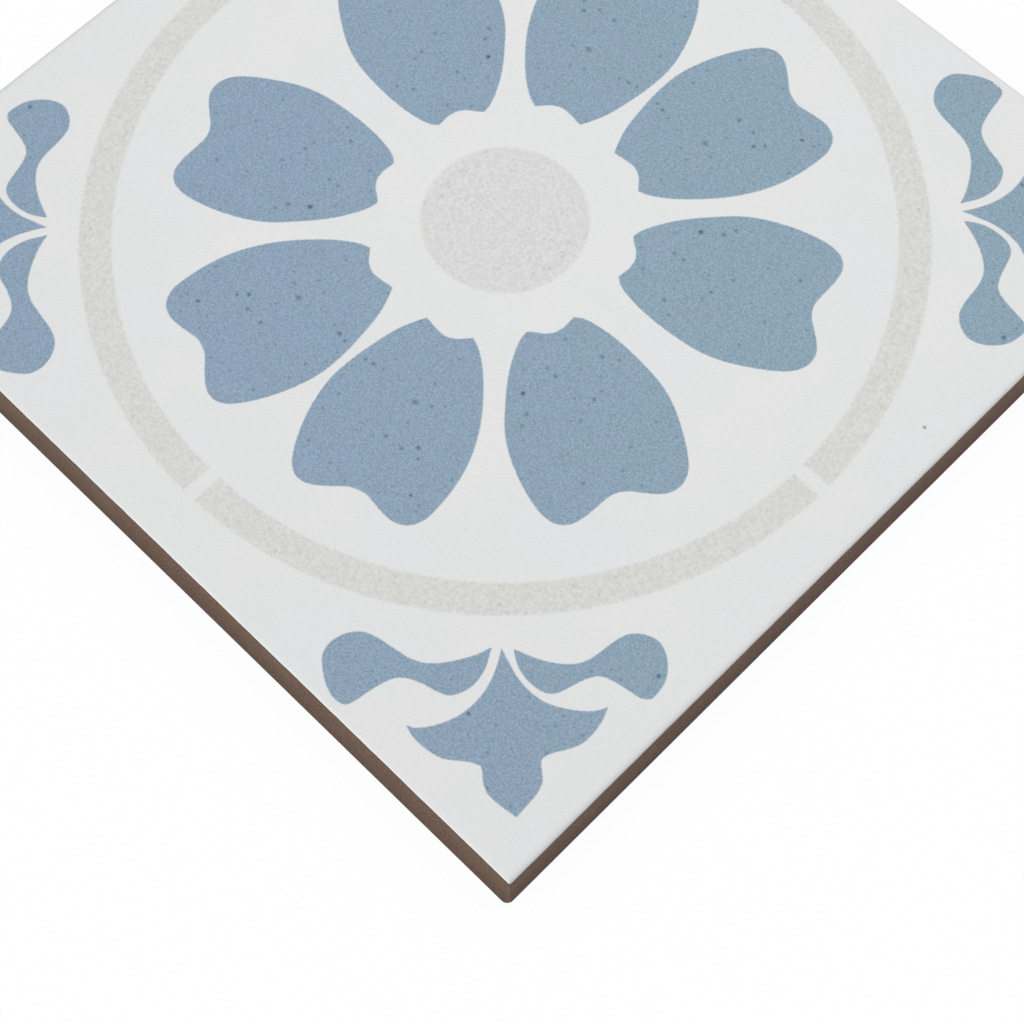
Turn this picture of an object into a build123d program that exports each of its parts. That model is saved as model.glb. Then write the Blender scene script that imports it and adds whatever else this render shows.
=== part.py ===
from build123d import *
import os

# Porcelain wall tile, face up, back on the ground plane, millimetres.

# Plate
side = 100.0
thickness = 8.0
corner_radius = 0.4

# Rounded arrises round the glazed face and round the back
face_arris_radius = 0.25
back_arris_radius = 0.2

# Keyed back: a square grid of shallow drafted pockets between level ribs
key_count = 6
key_cell = 11.0
key_rib = 3.5
key_depth = 0.6
key_corner_radius = 1.5
key_draft_deg = 30.0

key_pitch = key_cell + key_rib

os.makedirs("parts", exist_ok=True)

# Pressed plate with its four upright corners rounded
with BuildPart() as tile:
    with BuildSketch(Plane.XY):
        RectangleRounded(side, side, corner_radius)
    extrude(amount=thickness)

    # The glaze rounds the arris of the face, the die rounds the arris of the back
    fillet(tile.faces().sort_by(Axis.Z)[-1].edges(), face_arris_radius)
    fillet(tile.faces().sort_by(Axis.Z)[0].edges(), back_arris_radius)

    # Pockets pressed into the back, narrower towards their floor
    with BuildSketch(Plane.XY):
        with GridLocations(key_pitch, key_pitch, key_count, key_count):
            RectangleRounded(key_cell, key_cell, key_corner_radius)
    extrude(amount=key_depth, taper=key_draft_deg, mode=Mode.SUBTRACT)

export_step(tile.part, "parts/tile.step")
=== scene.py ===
import bpy
import math
import numpy as np
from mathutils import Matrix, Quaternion, Vector
from mathutils.geometry import delaunay_2d_cdt
from mathutils.kdtree import KDTree


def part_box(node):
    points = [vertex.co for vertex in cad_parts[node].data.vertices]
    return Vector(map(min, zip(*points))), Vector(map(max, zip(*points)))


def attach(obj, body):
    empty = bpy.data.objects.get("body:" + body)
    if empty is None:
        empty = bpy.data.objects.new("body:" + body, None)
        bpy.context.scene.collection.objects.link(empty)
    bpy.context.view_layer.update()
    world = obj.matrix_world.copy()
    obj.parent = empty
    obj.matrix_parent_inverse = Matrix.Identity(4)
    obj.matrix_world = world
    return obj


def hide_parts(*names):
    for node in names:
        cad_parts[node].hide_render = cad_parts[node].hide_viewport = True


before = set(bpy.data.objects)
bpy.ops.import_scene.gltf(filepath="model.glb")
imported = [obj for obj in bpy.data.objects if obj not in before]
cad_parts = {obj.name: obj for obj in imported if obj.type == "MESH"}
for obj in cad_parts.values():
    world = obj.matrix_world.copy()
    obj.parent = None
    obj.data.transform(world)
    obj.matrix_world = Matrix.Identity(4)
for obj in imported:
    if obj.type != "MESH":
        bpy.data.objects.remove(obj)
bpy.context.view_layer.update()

# Porcelain wall tile lying on its back, glazed face up. Lengths below are in millimetres.
MM = 0.001
RANDOM_SEED = 7
rng = np.random.default_rng(RANDOM_SEED)

# The plate, the same sizes as the solid
tile_low, tile_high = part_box("tile")
HALF = 0.5 * (tile_high[0] - tile_low[0]) / MM
THICK = (tile_high[2] - tile_low[2]) / MM
CORNER_AT_FACE = 0.3
CORNER_AT_BACK = 0.75
FACE_ARRIS = 0.25
BACK_ARRIS = 0.2

# The keyed back
KEY_COUNT = 6
KEY_CELL = 11.0
KEY_PITCH = 14.5
KEY_DEPTH = 0.6
KEY_CORNER = 1.5

# How the print lies on the face: its shift off the middle, its turn, its size and its slight taper
PRINT_SHIFT = (0.12, 0.2)
PRINT_TURN = math.radians(-0.05)
PRINT_SIZE = (0.9962, 1.0016)
PRINT_TAPER = (0.000038, 0.000039)
PRINT_MAP = np.array([
    [PRINT_SIZE[0] * math.cos(PRINT_TURN), -PRINT_SIZE[1] * math.sin(PRINT_TURN), PRINT_SHIFT[0]],
    [PRINT_SIZE[0] * math.sin(PRINT_TURN), PRINT_SIZE[1] * math.cos(PRINT_TURN), PRINT_SHIFT[1]],
    [PRINT_TAPER[0], PRINT_TAPER[1], 1.0],
])

# The grey ring and disc of the print
RING_INNER = 40.95
RING_OUTER = 44.35
RING_GAP = 0.75
DISC = 8.85

# Outlines of one quarter of the print: each is a list of smooth runs that meet in sharp corners
PETAL_UPRIGHT = [
    [(2.5, 13.9), (1.95, 15.1), (1.28, 17.0), (0.76, 20.0), (0.47, 23.0), (0.52, 25.5), (1.05, 28.0),
     (2.15, 30.9), (3.55, 33.4), (4.85, 34.95), (6.1, 35.5), (7.5, 35.2), (9.0, 34.08), (10.5, 32.7),
     (12.2, 32.02), (14.2, 32.18), (16.1, 32.25), (17.6, 31.6), (18.45, 30.1), (18.48, 28.0),
     (17.9, 24.6), (16.9, 21.8), (15.0, 18.6), (12.6, 15.8), (10.3, 13.7), (8.5, 12.55), (7.55, 12.22)],
    [(7.55, 12.22), (7.0, 12.9), (6.25, 13.62), (5.3, 14.08), (4.2, 14.1), (3.2, 13.95), (2.5, 13.9)],
]
PETAL_LEVEL = [
    [(13.2, 3.3), (13.9, 2.8), (15.5, 2.35), (18.5, 2.1), (22.0, 2.27), (25.0, 2.72), (27.5, 3.63),
     (30.0, 5.08), (32.0, 6.5), (33.4, 7.95), (33.93, 9.6), (33.5, 11.1), (32.0, 12.55), (30.6, 13.65),
     (29.8, 14.85), (29.6, 16.5), (29.5, 18.4), (29.0, 20.25), (28.0, 21.15), (26.4, 21.42),
     (24.3, 21.04), (21.7, 20.14), (19.5, 19.05), (17.5, 17.68), (15.0, 15.08), (13.0, 12.58),
     (11.5, 9.95), (11.0, 8.5), (10.95, 7.9)],
    [(10.95, 7.9), (11.5, 7.4), (12.3, 6.85), (13.0, 6.0), (13.28, 4.8), (13.2, 3.8), (13.2, 3.3)],
]
LEAF_UPRIGHT = [
    [(32.6, 34.75), (32.0, 36.4), (31.0, 38.2), (29.55, 40.0), (28.0, 40.93), (26.0, 41.36), (24.0, 41.72),
     (22.6, 42.3), (21.6, 43.5), (21.18, 45.1), (21.5, 46.5), (22.5, 47.5), (24.0, 48.45), (25.7, 48.9),
     (26.8, 48.55), (27.15, 47.7), (27.35, 46.5), (27.65, 45.0), (28.15, 43.55), (29.0, 42.65),
     (30.4, 42.0), (32.2, 41.5), (33.2, 40.97), (33.8, 39.9), (34.05, 38.7), (33.8, 37.0),
     (33.3, 35.95), (32.6, 34.75)],
]
LEAF_LEVEL = [
    [(34.25, 33.36), (35.0, 33.93), (36.2, 34.5), (37.7, 34.73), (39.2, 34.53), (40.05, 34.0),
     (40.5, 33.15), (40.85, 31.95), (41.3, 30.65), (42.0, 29.58), (43.2, 29.07), (45.0, 28.7),
     (46.4, 28.4), (47.05, 27.85), (47.05, 26.6), (46.7, 25.35), (45.75, 24.1), (44.5, 23.28),
     (43.4, 23.05), (42.2, 23.45), (41.1, 24.4), (40.62, 25.6), (40.4, 27.0), (40.2, 28.6),
     (39.7, 29.95), (38.5, 31.25), (37.0, 32.23), (35.3, 32.97), (34.25, 33.36)],
]
TULIP = [
    [(32.38, 45.93), (33.2, 46.22), (34.5, 46.35), (36.0, 46.19), (37.2, 45.83), (38.2, 45.1),
     (39.3, 44.28), (40.2, 43.85)],
    [(40.2, 43.85), (40.7, 44.15), (41.5, 44.83), (42.5, 45.3), (43.6, 45.35), (45.0, 45.2), (46.1, 45.05)],
    [(46.1, 45.05), (46.0, 43.5), (45.85, 42.0), (45.4, 40.85), (44.6, 40.12), (43.95, 39.55),
     (43.85, 39.1), (44.1, 38.3), (44.8, 37.15), (45.35, 36.0), (45.55, 34.8), (45.4, 33.3),
     (45.05, 32.0), (44.68, 31.3)],
    [(44.68, 31.3), (44.2, 32.25), (43.2, 33.3), (41.85, 34.24), (40.2, 35.07), (38.5, 35.33),
     (36.6, 35.18), (34.8, 34.63), (33.35, 34.15)],
    [(33.35, 34.15), (34.1, 35.4), (34.85, 37.0), (35.3, 38.8), (35.4, 40.3), (35.15, 42.0),
     (34.5, 43.65), (33.65, 45.0), (33.0, 45.65), (32.38, 45.93)],
]
MOTIFS = [PETAL_UPRIGHT, PETAL_LEVEL, LEAF_UPRIGHT, LEAF_LEVEL, TULIP]

# Dark specks of the print in one quarter: place, radius, strength
SPECKS = [
    (15.6, 29.0, 0.34, 0.9), (17.0, 29.25, 0.3, 0.45), (9.2, 26.2, 0.34, 0.7), (11.3, 26.05, 0.32, 0.65),
    (13.3, 25.65, 0.3, 0.6), (12.45, 24.8, 0.34, 0.85), (1.55, 21.6, 0.3, 0.7), (2.45, 21.4, 0.36, 0.75),
    (8.55, 21.5, 0.5, 0.6), (10.1, 20.65, 0.3, 0.5), (7.1, 19.3, 0.32, 0.5), (4.05, 31.9, 0.3, 0.6),
    (15.6, 13.2, 0.38, 1.0), (17.5, 14.6, 0.4, 0.6), (18.1, 15.9, 0.4, 0.5), (26.85, 16.1, 0.34, 0.55),
    (13.75, 11.3, 0.3, 0.4), (21.85, 11.3, 0.3, 0.5), (15.4, 9.4, 0.34, 0.55), (16.6, 9.5, 0.32, 0.6),
    (21.2, 8.65, 0.32, 0.55), (14.3, 5.75, 0.34, 0.45), (18.4, 4.6, 0.32, 0.6), (35.75, 41.0, 0.34, 0.8),
    (46.0, 25.65, 0.36, 0.8), (10.5, 42.5, 0.3, 0.4), (8.4, 41.3, 0.3, 0.35), (36.2, 20.7, 0.3, 0.35),
    (3.75, 4.6, 0.34, 0.4), (1.2, 3.0, 0.3, 0.3), (6.7, 2.6, 0.3, 0.35), (7.0, 1.4, 0.3, 0.3),
    (5.1, 1.4, 0.3, 0.3),
]
# A single dark dot in the glaze
GLAZE_DOT = (46.7, 12.4, 0.3, 0.9)

# The quarters of the print, as mirrorings of the drawn one
QUARTERS = ((1, 1), (-1, 1), (-1, -1), (1, -1))

# Mesh density
OUTLINE_STEP = 0.35
EDGE_OFFSETS = (0.12, 0.32)
GRID_STEP = 2.0
GRID_JITTER = 0.25
SIDE_STEP = 0.5
ARC_STEPS = 7
SPECK_STEPS = 10
FACE_STEPS = 9
BACK_STEPS = 5
POCKET_STEPS = 6


def smooth_run(points, step):
    """Points along a centripetal spline through the given points, without the last one."""
    pts = np.array(points, float)
    ends = np.vstack([2 * pts[0] - pts[1], pts, 2 * pts[-1] - pts[-2]])
    out = []
    for i in range(1, len(ends) - 2):
        p0, p1, p2, p3 = ends[i - 1:i + 3]
        t1 = np.linalg.norm(p1 - p0) ** 0.5
        t2 = t1 + np.linalg.norm(p2 - p1) ** 0.5
        t3 = t2 + np.linalg.norm(p3 - p2) ** 0.5
        count = max(2, int(round(np.linalg.norm(p2 - p1) / step)))
        for t in np.linspace(t1, t2, count, endpoint=False):
            a1 = (t1 - t) / t1 * p0 + t / t1 * p1
            a2 = (t2 - t) / (t2 - t1) * p1 + (t - t1) / (t2 - t1) * p2
            a3 = (t3 - t) / (t3 - t2) * p2 + (t - t2) / (t3 - t2) * p3
            b1 = (t2 - t) / t2 * a1 + t / t2 * a2
            b2 = (t3 - t) / (t3 - t1) * a2 + (t - t1) / (t3 - t1) * a3
            out.append((t2 - t) / (t2 - t1) * b1 + (t - t1) / (t2 - t1) * b2)
    return out


def map_plane(matrix, points):
    """Points of the plane carried by a 3 by 3 map."""
    p = np.atleast_2d(np.asarray(points, float))
    carried = np.column_stack([p, np.ones(len(p))]) @ matrix.T
    return carried[:, :2] / carried[:, 2:]


def place_print(points):
    """Print coordinates to tile coordinates."""
    return map_plane(PRINT_MAP, points)


def inside(points, loop):
    """Which points lie inside a closed loop, by crossing count."""
    x = points[:, 0][:, None]
    y = points[:, 1][:, None]
    ax = loop[:, 0][None, :]
    ay = loop[:, 1][None, :]
    bx = np.roll(loop[:, 0], -1)[None, :]
    by = np.roll(loop[:, 1], -1)[None, :]
    straddles = (ay > y) != (by > y)
    rise = np.where(by == ay, 1.0, by - ay)
    crossing = ax + (y - ay) * (bx - ax) / rise
    return (np.sum(straddles & (x < crossing), axis=1) % 2) == 1


def nearest_tree(points):
    """Search tree over points of the plane."""
    tree = KDTree(len(points))
    for i, p in enumerate(points):
        tree.insert((p[0], p[1], 0.0), i)
    tree.balance()
    return tree


def distance_to(tree, points):
    """Distance from each point to the nearest one in the tree."""
    return np.array([tree.find((p[0], p[1], 0.0))[2] for p in points])


# Perimeter of the plate: places on the square of corner centres, of half side 1, and outward normals
straight_count = int(round(2 * HALF / SIDE_STEP))
base = []
normal = []
side_of = []
part_of = []
turn_of = []
for k in range(4):
    turn = k * math.pi / 2
    out_dir = np.array([math.sin(turn), -math.cos(turn)])
    run_dir = np.array([math.cos(turn), math.sin(turn)])
    for i in range(straight_count + 1):
        part = -1 + 2 * i / straight_count
        base.append(out_dir + run_dir * part)
        normal.append(out_dir)
        side_of.append(k)
        part_of.append(part)
        turn_of.append(0.0)
    for i in range(1, ARC_STEPS):
        a = 0.5 * math.pi * i / ARC_STEPS
        base.append(out_dir + run_dir)
        normal.append(out_dir * math.cos(a) + run_dir * math.sin(a))
        side_of.append(k)
        part_of.append(1.0)
        turn_of.append(i / ARC_STEPS)
base = np.array(base)
normal = np.array(normal)
side_of = np.array(side_of)
part_of = np.array(part_of)
turn_of = np.array(turn_of)
along = part_of * (HALF - CORNER_AT_FACE) + turn_of * 0.5 * math.pi * CORNER_AT_FACE
ALONG_END = HALF - CORNER_AT_FACE + 0.5 * math.pi * CORNER_AT_FACE
ROUND = len(base)


# The two far sides lie a hair inside the nominal square: how far in x and y, and on which side
FIRED_SHORT = np.array([0.17, 0.1])
FIRED_AWAY = np.array([-1.0, 1.0])


def ring(inset, corner=CORNER_AT_FACE):
    """The perimeter drawn in by inset, a number or one number a point, with rounded corners."""
    reach = corner - np.broadcast_to(np.asarray(inset, float), (ROUND,))
    nominal = base * (HALF - corner) + normal * reach[:, None]
    return nominal - FIRED_SHORT * 0.5 * (FIRED_AWAY + nominal / HALF)


# How far the glaze runs over each side, measured along the profile from the face: start and end of the side
GLAZE_RUN = [(0.2, 0.2), (0.34, 0.34), (0.42, 0.36), (0.3, 0.24)]
# Height and lengths of the waves in that line, and how it dies out towards the corners
GLAZE_WOBBLE = [0.012, 0.03, 0.04, 0.03]
WAVE_LENGTHS = (23.0, 11.0, 6.3, 3.1, 1.7)
WAVE_FADE = 2.0
# How far the glaze stands proud of the body, and where that falls off about its end
LIP = 0.02
LIP_FALL = (-0.02, 0.05)
# Size of the back arris on each side, as a share of the nominal one: the sides are worn unevenly
ARRIS_SHARE = [0.2, 1.5, 0.7, 0.6]
# How far each side leans outward at the back
LEAN = [0.03, -0.05, 0.0, 0.0]
# Painted shade on the arris of each side, darker where the arris turns away from the light; a value below
# nought paints a highlight on the lit arris
ARRIS_SHADE_AND_HIGHLIGHT = [-0.25, 1.0, 0.1, 0.85]


def glaze_line():
    """Profile length at which the glaze ends, for each point of the perimeter."""
    line = np.zeros(ROUND)
    for k in range(4):
        mine = side_of == k
        start, end = GLAZE_RUN[k]
        following = GLAZE_RUN[(k + 1) % 4][0]
        t = along[mine]
        value = start + (end - start) * 0.5 * (part_of[mine] + 1)
        wave = np.zeros(len(t))
        for length in WAVE_LENGTHS:
            wave += np.sin(2 * math.pi * t / length + rng.uniform(0, 6.28)) * rng.uniform(0.25, 0.5)
        fade = np.clip((1 - np.abs(part_of[mine])) * HALF / WAVE_FADE, 0, 1)
        value = value + GLAZE_WOBBLE[k] * wave * fade
        line[mine] = value * (1 - turn_of[mine]) + following * turn_of[mine]
    return line


def by_side(values):
    """One value a side as one value a point, blended round the corners."""
    here = np.array([values[k] for k in side_of])
    following = np.array([values[(k + 1) % 4] for k in side_of])
    return here * (1 - turn_of) + following * turn_of


glaze_end = glaze_line()
back_arris = BACK_ARRIS * by_side(ARRIS_SHARE)
lean = by_side(LEAN)
# Painted arris shade and highlight, one value a point
arris_shade_each = by_side(ARRIS_SHADE_AND_HIGHLIGHT)
worn_edge = np.sin(math.pi * turn_of) ** 3

# Closed loops of the print in all four quarters
loops = []
for runs in MOTIFS:
    quarter = np.array([p for run in runs for p in smooth_run(run, OUTLINE_STEP)])
    for sx, sy in QUARTERS:
        loops.append(place_print(quarter * np.array([sx, sy])))
outline_points = np.vstack(loops)
outline_tree = nearest_tree(outline_points)

# Face sheet: points, signed distance to the ink's edge, specks, the single dot and painted arris shade
face_xy = []
face_ink = []
face_speck = []
face_pin = []
face_arris_shade = []
face_edges = []
INK_CAP = EDGE_OFFSETS[-1]


def add_face(points, ink, speck, pin=0.0, arris_shade=0.0):
    """Adds points to the face sheet and returns the number of the first."""
    first = len(face_xy)
    face_pin.extend([pin] * len(points))
    face_arris_shade.extend(np.broadcast_to(arris_shade, (len(points),)).tolist())
    face_xy.extend([tuple(p) for p in points])
    face_ink.extend(np.broadcast_to(ink, (len(points),)).tolist())
    face_speck.extend(np.broadcast_to(speck, (len(points),)).tolist())
    return first


def add_loop_edges(first, count):
    """Ties count points from first on into a closed loop."""
    for i in range(count):
        face_edges.append((first + i, first + (i + 1) % count))


# Share of the painted arris shade at the rim of the face, and at lengths further in
ARRIS_SHADE_AT_RIM = 0.36
ARRIS_SHADE_INSIDE = ((0.2, 0.13), (0.4, 0.04), (0.7, 0.0))
INNER_CORNER = 0.05
rim_first = add_face(ring(FACE_ARRIS), -INK_CAP, 0.0, arris_shade=ARRIS_SHADE_AT_RIM * arris_shade_each)
add_loop_edges(rim_first, ROUND)
for beyond, share in ARRIS_SHADE_INSIDE:
    inset = FACE_ARRIS + beyond
    add_face(ring(inset, inset + INNER_CORNER), -INK_CAP, 0.0, arris_shade=share * arris_shade_each)
for loop in loops:
    add_loop_edges(add_face(loop, 0.0, 0.0), len(loop))

# Specks: a raised value at the middle, less half way out and none on an uneven circle round it
SPECK_HALFWAY = 0.55
speck_discs = []
for u, v, radius, strength in SPECKS:
    for sx, sy in QUARTERS:
        x, y = place_print((u * sx, v * sy))[0]
        speck_discs.append((x, y, radius * rng.uniform(0.9, 1.1), strength * rng.uniform(0.85, 1.0)))
speck_discs.append(GLAZE_DOT)
PIN_NUMBER = len(speck_discs) - 1
speck_spots = np.array([(x, y) for x, y, _, _ in speck_discs])
speck_tree = nearest_tree(speck_spots)


def ink_at(points):
    """Signed distance to the ink's edge, positive in the ink, capped."""
    sign = np.full(len(points), -1.0)
    for loop in loops:
        low = loop.min(axis=0) - 0.5
        high = loop.max(axis=0) + 0.5
        near = np.all((points > low) & (points < high), axis=1)
        if near.any():
            hit = np.zeros(len(points), bool)
            hit[near] = inside(points[near], loop)
            sign[hit] = 1.0
    return sign * np.minimum(distance_to(outline_tree, points), INK_CAP)


for number, (x, y, radius, strength) in enumerate(speck_discs):
    turns = np.linspace(0, 2 * math.pi, SPECK_STEPS, endpoint=False)
    reach = radius * rng.uniform(0.75, 1.15, len(turns))
    rim = np.column_stack([x + reach * np.cos(turns), y + reach * np.sin(turns)])
    middle = np.array([[x, y]])
    is_pin = 1.0 if number == PIN_NUMBER else 0.0
    add_face(middle, ink_at(middle), strength * (1 - is_pin), strength * is_pin)
    half = middle + (rim - middle) * 0.5
    halfway = strength * SPECK_HALFWAY
    add_face(half, ink_at(half), halfway * (1 - is_pin), halfway * is_pin)
    add_face(rim, ink_at(rim), 0.0)


def clear_of_specks(points, gap):
    """Which points lie clear of every speck."""
    return distance_to(speck_tree, points) > gap


# Points beside the outlines, so that the ink's edge is even in width, clear of specks and the rim
BESIDE_OUTLINE = 0.85
BESIDE_SPECK = 0.55
BESIDE_RIM = HALF - FACE_ARRIS - 0.3
for offset in EDGE_OFFSETS:
    for loop in loops:
        ahead = np.roll(loop, -1, axis=0) - np.roll(loop, 1, axis=0)
        ahead /= np.linalg.norm(ahead, axis=1)[:, None]
        across = np.column_stack([-ahead[:, 1], ahead[:, 0]])
        for sign in (-1, 1):
            beside = loop + across * offset * sign
            keep = distance_to(outline_tree, beside) > BESIDE_OUTLINE * offset
            keep &= clear_of_specks(beside, BESIDE_SPECK)
            keep &= np.max(np.abs(beside), axis=1) < BESIDE_RIM
            beside = beside[keep]
            if len(beside):
                add_face(beside, ink_at(beside), 0.0)

# Loose grid over the rest of the face, clear of outlines and specks
GRID_CLEAR = 0.8
steps = np.arange(-HALF + 1.5, HALF - 1.4, GRID_STEP)
grid = np.array([(x, y) for x in steps for y in steps])
grid = grid + rng.uniform(-GRID_JITTER, GRID_JITTER, grid.shape)
keep = distance_to(outline_tree, grid) > GRID_CLEAR
keep &= clear_of_specks(grid, GRID_CLEAR)
grid = grid[keep]
add_face(grid, ink_at(grid), 0.0)

# Mesh data of the whole tile
verts = []
faces = []
face_uvs = []
ink = []
speck = []
glaze = []
worn = []
pin = []
arris_shade = []


def add_vert(x, y, z, ink_value, speck_value, glaze_value, worn_value=0.0, pin_value=0.0, arris_shade_value=0.0):
    """Adds one vertex and returns its number."""
    verts.append((x * MM, y * MM, z * MM))
    ink.append(ink_value)
    speck.append(speck_value)
    glaze.append(glaze_value)
    worn.append(worn_value)
    pin.append(pin_value)
    arris_shade.append(arris_shade_value)
    return len(verts) - 1


# Layout of the bake map: the face takes most of it, the sides are four strips above it
MAP_EDGE = 0.006
FACE_SHARE = 0.74
BACK_SHARE = 0.23
STRIP_SHARE = 0.055
STRIP_START = MAP_EDGE + FACE_SHARE + 0.008
STRIP_PITCH = STRIP_SHARE + 0.006
STRIP_LENGTH = 2 * HALF + 1.5
STRIP_DEPTH = THICK + 1.0


def uv_face(x, y):
    """Place of a face point in the bake map."""
    return (MAP_EDGE + FACE_SHARE * (x + HALF) / (2 * HALF), MAP_EDGE + FACE_SHARE * (y + HALF) / (2 * HALF))


def uv_back(x, y):
    """Place of a back point in the bake map."""
    u = 1 - MAP_EDGE - BACK_SHARE * (x + HALF) / (2 * HALF)
    return (u, MAP_EDGE + BACK_SHARE * (y + HALF) / (2 * HALF))


def uv_side(k, t, depth):
    """Place of a point on side k in the bake map, t along it and depth down its profile."""
    u = MAP_EDGE + (1 - 2 * MAP_EDGE) * (t + HALF) / STRIP_LENGTH
    v = STRIP_START + STRIP_PITCH * k + STRIP_SHARE * depth / STRIP_DEPTH
    return (u, v)


# The glaze value of a point is its length from the end of the glaze, capped
GLAZE_CAP = 1.0

# The face
sheet = delaunay_2d_cdt([Vector(p) for p in face_xy], face_edges, [], 1, 1e-6)
sheet_verts, _, sheet_faces, sheet_origin, _, _ = sheet
rim_vert = {}
sheet_index = []
for p, origin in zip(sheet_verts, sheet_origin):
    source = origin[0] if origin else None
    ink_value = face_ink[source] if source is not None else 0.0
    speck_value = max([face_speck[i] for i in origin]) if origin else 0.0
    pin_value = max([face_pin[i] for i in origin]) if origin else 0.0
    arris_shade_value = face_arris_shade[source] if source is not None else 0.0
    number = add_vert(p.x, p.y, THICK, ink_value, speck_value, GLAZE_CAP, 0.0, pin_value, arris_shade_value)
    sheet_index.append(number)
    for i in origin:
        if rim_first <= i < rim_first + ROUND:
            rim_vert[i - rim_first] = number
for tri in sheet_faces:
    a, b, c = [sheet_verts[i] for i in tri[:3]]
    order = tri if (b - a).cross(c - a) > 0 else tri[::-1]
    faces.append([sheet_index[i] for i in order])
    face_uvs.append([uv_face(sheet_verts[i].x, sheet_verts[i].y) for i in order])

# Profile of the side, from the face down: inset, height, profile length, outward share of its normal
profile = []
for i in range(1, FACE_STEPS + 1):
    a = 0.5 * math.pi * i / FACE_STEPS
    inset = FACE_ARRIS * (1 - math.sin(a))
    height = THICK - FACE_ARRIS * (1 - math.cos(a))
    profile.append((inset, height, FACE_ARRIS * a, math.sin(a)))
turned = FACE_ARRIS * math.pi / 2
upright = THICK - FACE_ARRIS - BACK_ARRIS
# Share of the height below which the upright corners grow rounder
CORNER_GROWS_FROM = 0.55
FINE_DROPS = [0.05 * i for i in range(1, 11)]
COARSE_DROPS = [0.7, 1.0, 1.5, 2.0, 3.0, 4.0, 5.0, 6.0, 6.8, 7.3, upright]
for drop in FINE_DROPS + COARSE_DROPS:
    profile.append((0.0, THICK - FACE_ARRIS - drop, turned + drop, 1.0))
for i in range(1, BACK_STEPS + 1):
    a = 0.5 * math.pi * i / BACK_STEPS
    profile.append((back_arris * (1 - math.cos(a)), back_arris * (1 - math.sin(a)),
                    turned + upright + BACK_ARRIS * a, 1.0))


def soft_step(low, high, value):
    """Smooth step from 0 at low to 1 at high."""
    t = np.clip((value - low) / (high - low), 0, 1)
    return t * t * (3 - 2 * t)


# The sides, with the glaze standing a hair proud of the bare body
upper = [rim_vert[i] for i in range(ROUND)]
upper_length = 0.0
for inset, height, length, out_share in profile:
    swell = LIP * out_share * (1 - soft_step(glaze_end + LIP_FALL[0], glaze_end + LIP_FALL[1], length))
    blunt = soft_step(CORNER_GROWS_FROM * THICK, 0.0, np.mean(height))
    flare = lean * (1 - np.mean(height) / THICK)
    points = ring(inset - swell - flare, CORNER_AT_FACE + (CORNER_AT_BACK - CORNER_AT_FACE) * blunt)
    heights = np.broadcast_to(height, (ROUND,))
    margin = np.clip(glaze_end - length, -GLAZE_CAP, GLAZE_CAP)
    lower = []
    for i in range(ROUND):
        # Painted arris shade, growing from its share at the rim to full strength at the glaze's end
        arris_shade_down = arris_shade_each[i] * min(1.0, ARRIS_SHADE_AT_RIM + (1 - ARRIS_SHADE_AT_RIM) * length / glaze_end[i])
        lower.append(add_vert(points[i, 0], points[i, 1], heights[i], -INK_CAP, 0.0, margin[i],
                              worn_edge[i], 0.0, arris_shade_down))
    for i in range(ROUND):
        j = (i + 1) % ROUND
        faces.append([upper[i], lower[i], lower[j], upper[j]])
        k = side_of[i]
        end = along[j] if side_of[j] == k else ALONG_END
        face_uvs.append([uv_side(k, along[i], upper_length), uv_side(k, along[i], length),
                         uv_side(k, end, length), uv_side(k, end, upper_length)])
    upper = lower
    upper_length = length
back_rim = upper

# Profile of a pocket in the back: how far it stands outside the pocket's mouth, and its height
POCKET_PROFILE = [
    (0.35, 0.0), (0.12, 0.0), (0.04, 0.015), (-0.02, 0.07), (-0.10, 0.2), (-0.22, 0.4), (-0.28, 0.5),
    (-0.33, 0.565), (-0.42, KEY_DEPTH), (-0.65, KEY_DEPTH),
]


def pocket_loop(cx, cy, grow):
    """Rounded square of a pocket at its centre, grown by a length."""
    half = 0.5 * KEY_CELL - KEY_CORNER
    radius = KEY_CORNER + grow
    loop = []
    for k in range(4):
        sx = (1, -1, -1, 1)[k]
        sy = (1, 1, -1, -1)[k]
        for i in range(POCKET_STEPS + 1):
            a = k * math.pi / 2 + 0.5 * math.pi * i / POCKET_STEPS
            loop.append((cx + sx * half + radius * math.cos(a), cy + sy * half + radius * math.sin(a)))
    return loop


# The back: the ribs' plane as one sheet, with the pockets cut out of it and a second ring inside its rim
BACK_RING = BACK_ARRIS + 0.3
back_xy = []
back_edges = []
rim_loop = ring(back_arris - lean, CORNER_AT_BACK)
back_xy.extend([tuple(p) for p in rim_loop])
for i in range(ROUND):
    back_edges.append((i, (i + 1) % ROUND))
back_xy.extend([tuple(p) for p in ring(BACK_RING, CORNER_AT_BACK)])
centres = (np.arange(KEY_COUNT) - 0.5 * (KEY_COUNT - 1)) * KEY_PITCH
pocket_first = {}
for cx in centres:
    for cy in centres:
        first = len(back_xy)
        loop = pocket_loop(cx, cy, POCKET_PROFILE[0][0])
        back_xy.extend(loop)
        pocket_first[(cx, cy)] = (first, len(loop))
        for i in range(len(loop)):
            back_edges.append((first + i, first + (i + 1) % len(loop)))
back_sheet = delaunay_2d_cdt([Vector(p) for p in back_xy], back_edges, [], 1, 1e-6)
bv, _, bf, b_origin, _, _ = back_sheet
back_number = {}
back_index = []
for p, origin in zip(bv, b_origin):
    on_rim = [i for i in origin if i < ROUND]
    if on_rim:
        number = back_rim[on_rim[0]]
    else:
        number = add_vert(p.x, p.y, 0.0, -INK_CAP, 0.0, -GLAZE_CAP)
    back_index.append(number)
    for i in origin:
        back_number[i] = number
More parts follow.
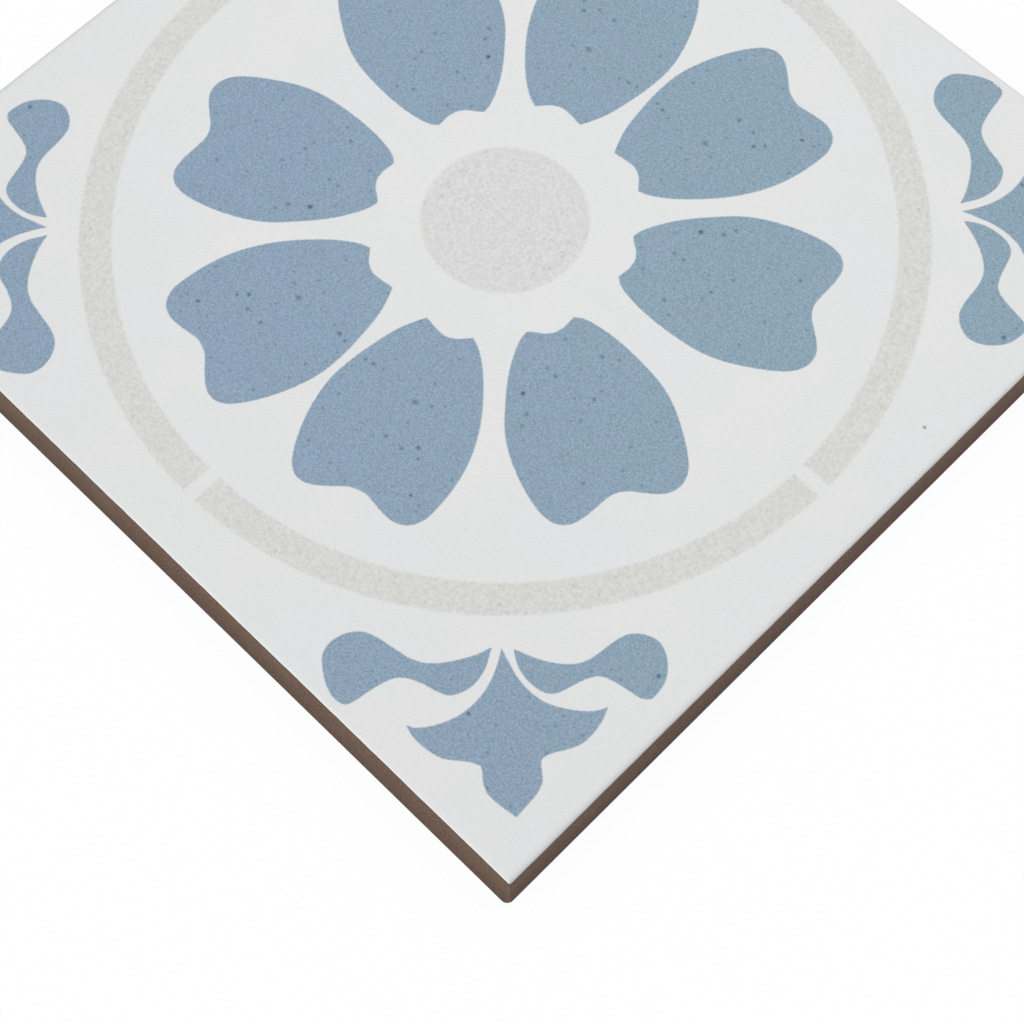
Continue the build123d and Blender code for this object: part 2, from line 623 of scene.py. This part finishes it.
for tri in bf:
    a, b, c = [bv[i] for i in tri[:3]]
    middle = (a + b + c) / 3
    cx = centres[np.argmin(np.abs(centres - middle.x))]
    cy = centres[np.argmin(np.abs(centres - middle.y))]
    reach = 0.5 * KEY_CELL - KEY_CORNER
    qx = max(abs(middle.x - cx) - reach, 0.0)
    qy = max(abs(middle.y - cy) - reach, 0.0)
    if math.hypot(qx, qy) < KEY_CORNER + POCKET_PROFILE[0][0]:
        continue
    order = tri if (b - a).cross(c - a) < 0 else tri[::-1]
    faces.append([back_index[i] for i in order])
    face_uvs.append([uv_back(bv[i].x, bv[i].y) for i in order])

# The pockets: drafted walls and a level floor
for (cx, cy), (first, count) in pocket_first.items():
    upper = [back_number[first + i] for i in range(count)]
    upper_loop = pocket_loop(cx, cy, POCKET_PROFILE[0][0])
    for grow, height in POCKET_PROFILE[1:]:
        loop = pocket_loop(cx, cy, grow)
        lower = [add_vert(p[0], p[1], height, -INK_CAP, 0.0, -GLAZE_CAP) for p in loop]
        for i in range(count):
            j = (i + 1) % count
            faces.append([upper[i], lower[i], lower[j], upper[j]])
            face_uvs.append([uv_back(*upper_loop[i]), uv_back(*loop[i]),
                             uv_back(*loop[j]), uv_back(*upper_loop[j])])
        upper = lower
        upper_loop = loop
    faces.append(upper[::-1])
    face_uvs.append([uv_back(*p) for p in upper_loop[::-1]])

mesh = bpy.data.meshes.new("tile_glazed")
mesh.from_pydata(verts, [], faces)
LAYERS = (("ink", ink), ("speck", speck), ("glaze", glaze), ("worn", worn), ("pin", pin), ("arris_shade", arris_shade))
for name, values in LAYERS:
    layer = mesh.attributes.new(name, "FLOAT", "POINT")
    layer.data.foreach_set("value", values)
plan = np.array(verts)[:, :2] / MM
print_layer = mesh.attributes.new("print", "FLOAT_VECTOR", "POINT")
print_plan = map_plane(np.linalg.inv(PRINT_MAP), plan)
print_layer.data.foreach_set("vector", np.column_stack([print_plan, np.zeros(len(plan))]).ravel())
uv_layer = mesh.uv_layers.new(name="OFBake")
uv_layer.data.foreach_set("uv", [c for face in face_uvs for uv in face for c in uv])
mesh.polygons.foreach_set("use_smooth", [True] * len(faces))
mesh.validate()
mesh.update()
tile = bpy.data.objects.new("tile_glazed", mesh)
bpy.context.scene.collection.objects.link(tile)


# Small helpers for shader nodes
def linear(red, green, blue):
    """A colour written as 0 to 255 screen values, as a linear RGBA."""
    out = []
    for value in (red, green, blue):
        c = value / 255
        out.append(c / 12.92 if c <= 0.04045 else ((c + 0.055) / 1.055) ** 2.4)
    return (*out, 1.0)


class Shader:
    """Builds one node material."""

    def __init__(self, name):
        self.material = bpy.data.materials.new(name)
        self.material.use_nodes = True
        self.tree = self.material.node_tree
        self.tree.nodes.clear()

    def put(self, socket, value):
        """Links an output to a socket, or sets the socket's value."""
        if isinstance(value, bpy.types.NodeSocket):
            self.tree.links.new(value, socket)
        else:
            socket.default_value = value

    def node(self, kind, inputs=None, **settings):
        """Adds a node with its settings and inputs."""
        made = self.tree.nodes.new(kind)
        for name, value in settings.items():
            setattr(made, name, value)
        for key, value in (inputs or {}).items():
            self.put(made.inputs[key], value)
        return made

    def calc(self, operation, a, b=None, c=None, clamp=False):
        """One step of arithmetic."""
        inputs = {0: a}
        if b is not None:
            inputs[1] = b
        if c is not None:
            inputs[2] = c
        return self.node("ShaderNodeMath", inputs, operation=operation, use_clamp=clamp).outputs[0]

    def noise(self, place, scale, detail=2.0, rough=0.5):
        """Soft noise about 0.5, scale in features a millimetre."""
        inputs = {"Vector": place, "Scale": scale, "Detail": detail, "Roughness": rough}
        return self.node("ShaderNodeTexNoise", inputs).outputs[0]

    def ramp(self, value, low, high, start=0.0, end=1.0):
        """Smooth step from start at low to end at high."""
        inputs = {"Value": value, "From Min": low, "From Max": high, "To Min": start, "To Max": end}
        made = self.node("ShaderNodeMapRange", inputs, interpolation_type="SMOOTHSTEP")
        return made.outputs[0]

    def mix(self, share, a, b):
        """Blend of two colours."""
        made = self.node("ShaderNodeMix", data_type="RGBA")
        self.put(made.inputs[0], share)
        self.put(made.inputs[6], a)
        self.put(made.inputs[7], b)
        return made.outputs[2]

    def blend(self, share, a, b):
        """Blend of two values."""
        return self.node("ShaderNodeMix", {0: share, 2: a, 3: b}, data_type="FLOAT").outputs[0]

    def tone(self, colour, factor):
        """A colour made lighter or darker by a factor."""
        return self.node("ShaderNodeVectorMath", {0: colour, "Scale": factor}, operation="SCALE").outputs[0]

    def layer(self, name):
        """A value stored on the mesh."""
        return self.node("ShaderNodeAttribute", attribute_name=name).outputs["Fac"]


# Colours, as screen values
WHITE_WARM = linear(228, 229, 228)
WHITE_COOL = linear(226, 228, 229)
RING_GREY = linear(216, 216, 213)
DISC_GREY = linear(217, 217, 217)
BLUE_CLEAR = linear(142, 163, 184.5)
BLUE_GREEN = linear(141.5, 165.5, 181)
BLUE_ROSE = linear(147, 163.5, 183)
SPECK_BLUE = linear(78, 100, 120)
SPECK_GREY = linear(176, 176, 172)
BODY = linear(97, 74, 59)
BODY_DUST = linear(112, 91, 76)
# Painted shade on the body just under the glaze's lip
BODY_LIP_SHADE = linear(66, 56, 51)
BODY_WORN = linear(134, 114, 101)

# Range from dark to light in the grain of each colour, and of the painted shade from the foot of the sides
# to their top
WHITE_TONES = (0.965, 1.035)
GREY_TONES = (0.91, 1.08)
BLUE_TONES = (0.77, 1.23)
BODY_TONES = (0.52, 1.48)
FOOT_SHADE_TONES = (0.76, 1.24)

# Edges of the print: how ragged and how soft, in millimetres
BLUE_RAGGED = 0.16
BLUE_SOFT = 0.1
GREY_RAGGED = 0.6
GREY_SOFT = 0.22

# Small random dots of the print: cells a millimetre, least and largest size in cells, softness, strength
DOT_CELLS = 0.8
DOT_SIZES = (0.06, 0.2)
DOT_SOFT = 0.12
DOT_STRENGTHS = (0.08, 0.42)
SPECK_GAIN = 1.3

# The blue turns a hair greener from the left corner of the tile to the right one
GREEN_REACH = 60.0
GREEN_SHARES = (0.1, 0.9)
GREEN_PATCHES = 0.8

# Surface of glaze and body: painted arris shade and highlight, worn places, the glaze's end with painted
# shade under its lip, roughness, relief and gloss
ARRIS_SHADE_DEPTH = 0.34
WORN_SHARE = 0.3
GLAZE_LINE_RAGGED = 0.06
GLAZE_LINE_SOFT = 0.04
LIP_SHADE_REACH = (-0.3, -0.03)
LIP_SHADE_SHARE = 0.3
GLAZE_ROUGHNESS = (0.5, 0.58)
BODY_ROUGHNESS = (0.78, 0.9)
GLAZE_RELIEF = 0.12
RELIEF_DEPTH = 0.03 * MM
GLAZE_INDEX = 1.45
GLOSS_LEVEL = 0.3

sh = Shader("glazed_porcelain")
coords = sh.node("ShaderNodeTexCoord").outputs["Object"]
place = sh.node("ShaderNodeVectorMath", {0: coords, "Scale": 1 / MM}, operation="SCALE").outputs[0]
height_here = sh.node("ShaderNodeSeparateXYZ", {0: place}).outputs[2]
print_place = sh.node("ShaderNodeAttribute", attribute_name="print").outputs["Vector"]
split = sh.node("ShaderNodeSeparateXYZ", {0: print_place})
u = sh.calc("ABSOLUTE", split.outputs[0])
v = sh.calc("ABSOLUTE", split.outputs[1])
folded = sh.node("ShaderNodeCombineXYZ", {0: u, 1: v}).outputs[0]
radius = sh.node("ShaderNodeVectorMath", {0: folded}, operation="LENGTH").outputs["Value"]

# Ink masks
edge_noise = sh.calc("SUBTRACT", sh.noise(folded, 3.0, 3.0, 0.6), 0.5)
ink_value = sh.calc("MULTIPLY_ADD", edge_noise, BLUE_RAGGED, sh.layer("ink"))
blue_mask = sh.ramp(ink_value, -BLUE_SOFT, BLUE_SOFT)
past_inner = sh.calc("SUBTRACT", radius, RING_INNER)
before_outer = sh.calc("SUBTRACT", RING_OUTER, radius)
past_gap = sh.calc("SUBTRACT", sh.calc("MINIMUM", u, v), RING_GAP)
band = sh.calc("MINIMUM", sh.calc("MINIMUM", past_inner, before_outer), past_gap)
disc = sh.calc("SUBTRACT", DISC, radius)
grey_edge = sh.calc("MAXIMUM", band, disc)
grey_value = sh.calc("MULTIPLY_ADD", edge_noise, GREY_RAGGED, grey_edge)
grey_mask = sh.ramp(grey_value, -GREY_SOFT, GREY_SOFT)

# Glaze colours: cloudy ground, fine grain, and specks that the print repeats in every quarter
cloud = sh.noise(folded, 0.07, 3.0, 0.55)
patch = sh.noise(folded, 0.2, 2.0, 0.5)
blush = sh.noise(folded, 0.16, 2.0, 0.5)
slanted = sh.node("ShaderNodeMapping", {"Vector": folded, "Rotation": (0.5, 0.4, 0.6)}).outputs[0]
grain = sh.noise(slanted, 4.6, 2.5, 0.75)
stipple = sh.noise(slanted, 2.3, 3.0, 0.7)
white = sh.mix(sh.ramp(cloud, 0.35, 0.65), WHITE_WARM, WHITE_COOL)
white = sh.tone(white, sh.ramp(grain, 0.25, 0.75, *WHITE_TONES))
grey = sh.mix(sh.ramp(disc, -1.0, 1.0), RING_GREY, DISC_GREY)
grey = sh.tone(grey, sh.ramp(stipple, 0.28, 0.72, *GREY_TONES))
across = sh.node("ShaderNodeVectorMath", {0: place, 1: (1.0, 1.0, 0.0)}, operation="DOT_PRODUCT")
drift = sh.ramp(across.outputs["Value"], -GREEN_REACH, GREEN_REACH, *GREEN_SHARES)
greener = sh.calc("MULTIPLY_ADD", sh.calc("SUBTRACT", patch, 0.5), GREEN_PATCHES, drift)
blue = sh.mix(greener, BLUE_CLEAR, BLUE_GREEN)
blue = sh.mix(sh.ramp(blush, 0.52, 0.75, 0.0, 0.6), blue, BLUE_ROSE)
blue = sh.tone(blue, sh.ramp(grain, 0.25, 0.75, *BLUE_TONES))
dots = sh.node("ShaderNodeTexVoronoi", {"Vector": folded, "Scale": DOT_CELLS}, voronoi_dimensions="2D")
dot_draw = sh.node("ShaderNodeSeparateColor", {0: dots.outputs["Color"]})
dot_size = sh.ramp(dot_draw.outputs[0], 0.2, 1.0, *DOT_SIZES)
dot = sh.calc("DIVIDE", sh.calc("SUBTRACT", dot_size, dots.outputs["Distance"]), DOT_SOFT, clamp=True)
dot = sh.calc("MULTIPLY", dot, sh.ramp(dot_draw.outputs[1], 0.2, 1.0, *DOT_STRENGTHS))
fleck = sh.calc("MAXIMUM", sh.calc("MULTIPLY", sh.layer("speck"), SPECK_GAIN, clamp=True), dot)
blue = sh.mix(fleck, blue, SPECK_BLUE)
grey = sh.mix(fleck, grey, SPECK_GREY)
glazed = sh.mix(grey_mask, white, grey)
glazed = sh.mix(blue_mask, glazed, blue)
glazed = sh.mix(sh.layer("pin"), glazed, SPECK_BLUE)
# Painted shade on the arris turned from the light, and painted highlight on the lit arris
glazed = sh.tone(glazed, sh.calc("SUBTRACT", 1.0, sh.calc("MULTIPLY", sh.layer("arris_shade"), ARRIS_SHADE_DEPTH)))

# Bare body colours, drawn out a little along the height of the sides
drawn = sh.node("ShaderNodeVectorMath", {0: place, 1: (1.0, 1.0, 0.6)}, operation="MULTIPLY").outputs[0]
body_cloud = sh.noise(place, 0.25, 4.0, 0.6)
body_grain = sh.noise(drawn, 3.4, 3.0, 0.65)
body = sh.mix(sh.ramp(body_cloud, 0.45, 0.75, 0.0, 0.4), BODY, BODY_DUST)
body = sh.tone(body, sh.ramp(body_grain, 0.25, 0.75, *BODY_TONES))
# Painted shade: the body darker towards the foot of the sides and on the back, lighter towards the top
body = sh.tone(body, sh.ramp(height_here, -2.0, 10.0, *FOOT_SHADE_TONES))
body = sh.mix(sh.calc("MULTIPLY", sh.layer("worn"), WORN_SHARE), body, BODY_WORN)
line_noise = sh.calc("SUBTRACT", body_grain, 0.5)
glaze_value = sh.calc("MULTIPLY_ADD", line_noise, GLAZE_LINE_RAGGED, sh.layer("glaze"))
# Painted shade: a thin dark line on the body just below the glaze's end, under its lip
lip_shade = sh.ramp(glaze_value, *LIP_SHADE_REACH, 0.0, LIP_SHADE_SHARE)
body = sh.mix(lip_shade, body, BODY_LIP_SHADE)

# One skin: glaze where the glaze is, bare body elsewhere
glaze_mask = sh.ramp(glaze_value, -GLAZE_LINE_SOFT, GLAZE_LINE_SOFT)
colour = sh.mix(glaze_mask, body, glazed)
rough_glaze = sh.ramp(patch, 0.3, 0.7, *GLAZE_ROUGHNESS)
rough_body = sh.ramp(body_grain, 0.3, 0.7, *BODY_ROUGHNESS)
rough = sh.blend(glaze_mask, rough_body, rough_glaze)
peel = sh.noise(place, 0.9, 2.0, 0.5)
relief = sh.blend(glaze_mask, body_grain, sh.calc("MULTIPLY", peel, GLAZE_RELIEF))
bump = sh.node("ShaderNodeBump", {"Strength": 1.0, "Distance": RELIEF_DEPTH, "Height": relief})
skin = sh.node(
    "ShaderNodeBsdfPrincipled",
    {"Base Color": colour, "Roughness": rough, "Normal": bump.outputs[0], "IOR": GLAZE_INDEX,
     "Specular IOR Level": GLOSS_LEVEL},
)
sh.node("ShaderNodeOutputMaterial", {"Surface": skin.outputs[0]})
mesh.materials.append(sh.material)

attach(tile, "root")
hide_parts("tile")

# Pale floor: it shows white to the camera and keeps a soft shadow
FLOOR_HALF = 2.0
FLOOR_DROP = -0.1 * MM
FLOOR_WHITE = 0.96
FLOOR_GREY = 0.96
floor_mesh = bpy.data.meshes.new("floor")
floor_mesh.from_pydata(
    [(-FLOOR_HALF, -FLOOR_HALF, FLOOR_DROP), (FLOOR_HALF, -FLOOR_HALF, FLOOR_DROP),
     (FLOOR_HALF, FLOOR_HALF, FLOOR_DROP), (-FLOOR_HALF, FLOOR_HALF, FLOOR_DROP)],
    [], [(0, 1, 2, 3)])
floor = bpy.data.objects.new("floor", floor_mesh)
bpy.context.scene.collection.objects.link(floor)
fl = Shader("pale_floor")
rays = fl.node("ShaderNodeLightPath")
seen = fl.calc("MAXIMUM", rays.outputs["Is Camera Ray"], rays.outputs["Is Glossy Ray"])
seen = fl.calc("MAXIMUM", seen, rays.outputs["Is Transmission Ray"])
matt = fl.node("ShaderNodeBsdfDiffuse", {"Color": (FLOOR_GREY, FLOOR_GREY, FLOOR_GREY, 1.0)})
glow = fl.node("ShaderNodeEmission", {"Color": (1.0, 1.0, 1.0, 1.0), "Strength": 1.0})
shown = fl.node("ShaderNodeMixShader", {0: fl.calc("MULTIPLY", seen, FLOOR_WHITE), 1: matt.outputs[0],
                                        2: glow.outputs[0]})
fl.node("ShaderNodeOutputMaterial", {"Surface": shown.outputs[0]})
floor_mesh.materials.append(fl.material)

# Even studio light, white where it is seen
WORLD_LEVEL = 0.56
world = bpy.data.worlds.new("studio")
bpy.context.scene.world = world
world.use_nodes = True
wt = world.node_tree
wt.nodes.clear()
w_rays = wt.nodes.new("ShaderNodeLightPath")
w_light = wt.nodes.new("ShaderNodeBackground")
w_light.inputs["Strength"].default_value = WORLD_LEVEL
w_white = wt.nodes.new("ShaderNodeBackground")
w_white.inputs["Strength"].default_value = 1.0
for background in (w_light, w_white):
    background.inputs["Color"].default_value = (1.0, 1.0, 1.0, 1.0)
w_mix = wt.nodes.new("ShaderNodeMixShader")
w_out = wt.nodes.new("ShaderNodeOutputWorld")
wt.links.new(w_rays.outputs["Is Camera Ray"], w_mix.inputs[0])
wt.links.new(w_light.outputs[0], w_mix.inputs[1])
wt.links.new(w_white.outputs[0], w_mix.inputs[2])
wt.links.new(w_mix.outputs[0], w_out.inputs[0])


def soft_lamp(name, direction, distance, size, power):
    """A square soft lamp that looks at the tile from a direction."""
    lamp_data = bpy.data.lights.new(name, "AREA")
    lamp_data.shape = "SQUARE"
    lamp_data.size = size
    lamp_data.energy = power
    lamp = bpy.data.objects.new(name, lamp_data)
    aim = Vector(direction).normalized()
    lamp.location = aim * distance
    lamp.rotation_mode = "QUATERNION"
    lamp.rotation_quaternion = aim.to_track_quat("Z", "Y")
    bpy.context.scene.collection.objects.link(lamp)
    return lamp


# A wide lamp from the front and a small one close above, which makes the face fall off towards its corners
KEY_FROM = (0.0, -0.78, 0.62)
TOP_FROM = (-0.02, 0.2, 0.98)
soft_lamp("key_light", KEY_FROM, distance=2.0, size=1.0, power=13.5)
top_lamp = soft_lamp("top_light", TOP_FROM, distance=0.254, size=0.12, power=0.163)
top_lamp.visible_glossy = False
top_lamp.visible_camera = False

# Camera at the viewing angle of the photograph
CAMERA_AIM = (19.33, -27.84, 8.0)
CAMERA_PLACE = (86.1, -90.12, 212.88)
CAMERA_ROLL = math.radians(-2.04)
CAMERA_LENS = 80.26
CAMERA_SENSOR = 36.0
CAMERA_SHIFT = (0.0661, 0.0005)
camera_data = bpy.data.cameras.new("camera")
camera_data.sensor_fit = "HORIZONTAL"
camera_data.sensor_width = CAMERA_SENSOR
camera_data.lens = CAMERA_LENS
camera_data.shift_x = CAMERA_SHIFT[0]
camera_data.shift_y = CAMERA_SHIFT[1]
camera_data.clip_start = 0.01
camera = bpy.data.objects.new("camera", camera_data)
bpy.context.scene.collection.objects.link(camera)
camera.location = Vector(CAMERA_PLACE) * MM
look = (Vector(CAMERA_AIM) - Vector(CAMERA_PLACE)).to_track_quat("-Z", "Y")
camera.rotation_mode = "QUATERNION"
camera.rotation_quaternion = look @ Quaternion((0.0, 0.0, 1.0), CAMERA_ROLL)
bpy.context.scene.camera = camera
bpy.context.scene.view_settings.view_transform = "Standard"
